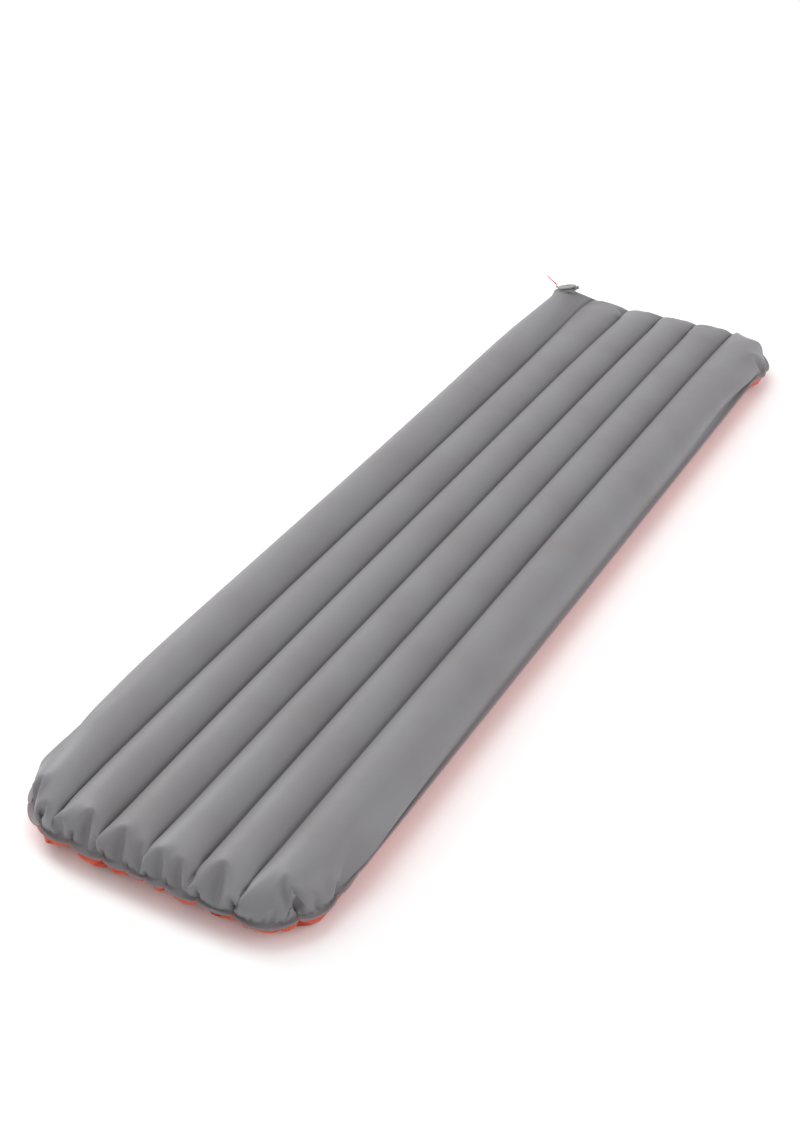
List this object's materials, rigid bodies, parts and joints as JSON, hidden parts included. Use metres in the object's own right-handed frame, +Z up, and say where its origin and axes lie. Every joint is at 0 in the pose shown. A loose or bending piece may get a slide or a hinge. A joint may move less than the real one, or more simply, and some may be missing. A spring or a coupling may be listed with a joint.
{
  "type": "inflatable sleeping pad",
  "caption": "Air-filled sleeping pad for hiking: lengthwise tubes between two welded fabric sheets, with rounded corners and a low round valve with a pull cord.",
  "frame": {"origin": "on the floor under the middle of the pad", "axes": "+Y runs lengthwise to the head end, where the valve is; +Z is up"},
  "size_m": [0.508, 1.83, 0.1135],
  "materials": {
    "top_fabric": "satin",
    "bottom_fabric": "satin",
    "baffle_fabric": "matte",
    "flange_film": "satin",
    "valve_plastic": "satin",
    "seal_rubber": "matte",
    "cord_red": "matte"
  },
  "bodies": {
    "pad": {"top_sheet": "top_fabric", "bottom_sheet": "bottom_fabric", "baffle_1": "baffle_fabric", "baffle_2": "baffle_fabric", "baffle_3": "baffle_fabric", "baffle_4": "baffle_fabric", "baffle_5": "baffle_fabric", "valve_flange": "flange_film", "valve_body": "valve_plastic", "hinge_pin": "valve_plastic"},
    "plug": {"deflate_plug": "valve_plastic", "plug_seal": "seal_rubber"},
    "flap": {"one_way_flap": "seal_rubber", "flap_button": "valve_plastic"},
    "cap": {"valve_cap": "valve_plastic", "cap_seal": "seal_rubber", "pull_cord": "cord_red", "cord_knot": "cord_red", "cord_tip": "cord_red"}
  },
  "joints": [
    {"name": "plug_hinge", "type": "hinge", "parent": "pad", "child": "plug", "pos_m": [-0.18454, 0.85775, 0.10541], "axis": [0, 0.9848, -0.1736], "range_deg": [0, 60]},
    {"name": "cap_hinge", "type": "hinge", "parent": "plug", "child": "cap", "pos_m": [-0.18454, 0.85775, 0.10541], "axis": [0, 0.9848, -0.1736], "range_deg": [0, 110]},
    {"name": "flap_travel", "type": "slide", "parent": "plug", "child": "flap", "axis": [0.225, -0.1692, -0.9596], "range_m": [0, 0.0015], "stiffness_N_per_m": 40}
  ]
}
